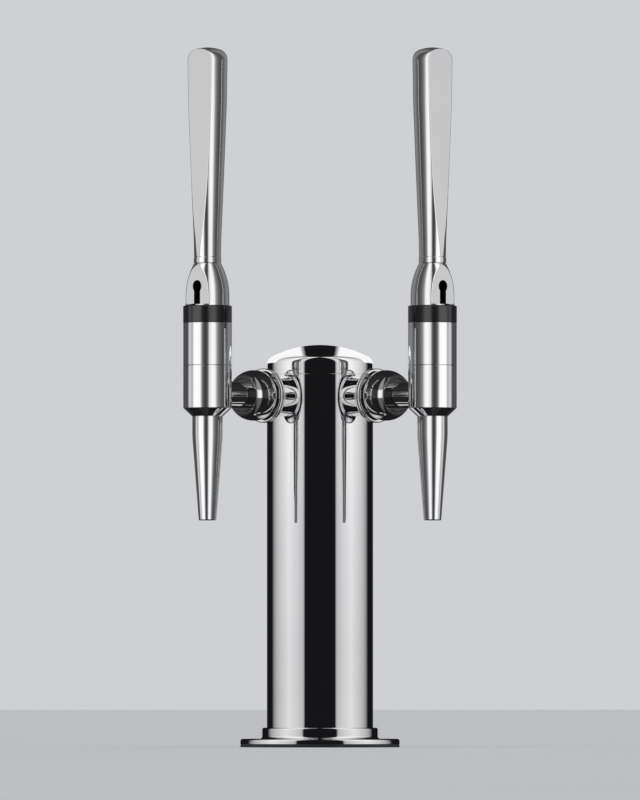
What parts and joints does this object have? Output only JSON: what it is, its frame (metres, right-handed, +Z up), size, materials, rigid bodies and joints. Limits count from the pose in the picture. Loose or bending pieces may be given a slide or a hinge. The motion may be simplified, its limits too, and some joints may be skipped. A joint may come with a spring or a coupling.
{
  "type": "beer tap tower",
  "caption": "Round column draught tower with a crowned cap, a base flange and stout faucets on shanks, with tilting lever handles.",
  "frame": {"origin": "column axis in the plane of the gasket's underside, at the centre of the mounting holes", "axes": "+Z up along the column, -Y to the front where the customer-side faucets point, +X to the right seen from the front"},
  "size_m": [0.195, 0.1546, 0.4989],
  "materials": {
    "polished_chrome": "mirror-polished chrome plate",
    "stainless_steel": "turned stainless steel",
    "bare_brass": "machined brass, unplated",
    "black_acetal": "satin black acetal",
    "black_rubber": "matt black rubber",
    "grey_foam": "closed-cell insulation foam",
    "fibre": "pressed fibre sealing washer"
  },
  "bodies": {
    "tower": {"column_tube": "polished_chrome", "base_flange": "polished_chrome", "base_gasket": "black_rubber", "top_cap": "polished_chrome", "insulation_sleeve": "grey_foam", "left_shank": "bare_brass", "left_shank_collar": "polished_chrome", "left_saddle_washer": "stainless_steel", "left_shank_locknut": "bare_brass", "left_tail_elbow": "stainless_steel", "left_tail_washer": "fibre", "left_tail_nut": "bare_brass", "left_coupling_nut": "polished_chrome", "left_coupling_washer": "black_rubber", "left_faucet_body": "polished_chrome", "left_upper_body": "polished_chrome", "left_bonnet_ring": "black_acetal", "left_pivot_post": "stainless_steel", "left_stem_guide": "bare_brass", "left_valve_sleeve": "bare_brass", "left_restrictor_disc": "stainless_steel", "left_spout": "polished_chrome", "left_spout_o_ring": "black_rubber", "left_flow_straightener": "stainless_steel", "right_shank": "bare_brass", "right_shank_collar": "polished_chrome", "right_saddle_washer": "stainless_steel", "right_shank_locknut": "bare_brass", "right_tail_elbow": "stainless_steel", "right_tail_washer": "fibre", "right_tail_nut": "bare_brass", "right_coupling_nut": "polished_chrome", "right_coupling_washer": "black_rubber", "right_faucet_body": "polished_chrome", "right_upper_body": "polished_chrome", "right_bonnet_ring": "black_acetal", "right_pivot_post": "stainless_steel", "right_stem_guide": "bare_brass", "right_valve_sleeve": "bare_brass", "right_restrictor_disc": "stainless_steel", "right_spout": "polished_chrome", "right_spout_o_ring": "black_rubber", "right_flow_straightener": "stainless_steel"},
    "left_lever": {"left_lever_hub": "polished_chrome", "left_pivot_pin": "stainless_steel", "left_drive_pin": "stainless_steel", "left_handle_ferrule": "stainless_steel", "left_handle_stud": "stainless_steel", "left_handle": "polished_chrome"},
    "right_lever": {"right_lever_hub": "polished_chrome", "right_pivot_pin": "stainless_steel", "right_drive_pin": "stainless_steel", "right_handle_ferrule": "stainless_steel", "right_handle_stud": "stainless_steel", "right_handle": "polished_chrome"},
    "left_stem": {"left_valve_stem": "stainless_steel", "left_stem_seal": "black_rubber"},
    "right_stem": {"right_valve_stem": "stainless_steel", "right_stem_seal": "black_rubber"}
  },
  "joints": [
    {"name": "left_lever_tilt", "type": "hinge", "parent": "tower", "child": "left_lever", "pos_m": [-0.08012, -0.08012, 0.3284], "axis": [0.7071, -0.7071, 0], "range_deg": [-15, 40]},
    {"name": "left_stem_lift", "type": "slide", "parent": "tower", "child": "left_stem", "axis": [0, 0, 1], "range_m": [-0.00225, 0.00595]},
    {"name": "right_lever_tilt", "type": "hinge", "parent": "tower", "child": "right_lever", "pos_m": [0.08012, -0.08012, 0.3284], "axis": [0.7071, 0.7071, 0], "range_deg": [-15, 40]},
    {"name": "right_stem_lift", "type": "slide", "parent": "tower", "child": "right_stem", "axis": [0, 0, 1], "range_m": [-0.00225, 0.00595]}
  ],
  "couplings": [
    {"joint": "left_stem_lift", "follows": "left_lever_tilt", "m_per_rad": 0.00845},
    {"joint": "right_stem_lift", "follows": "right_lever_tilt", "m_per_rad": 0.00845}
  ]
}
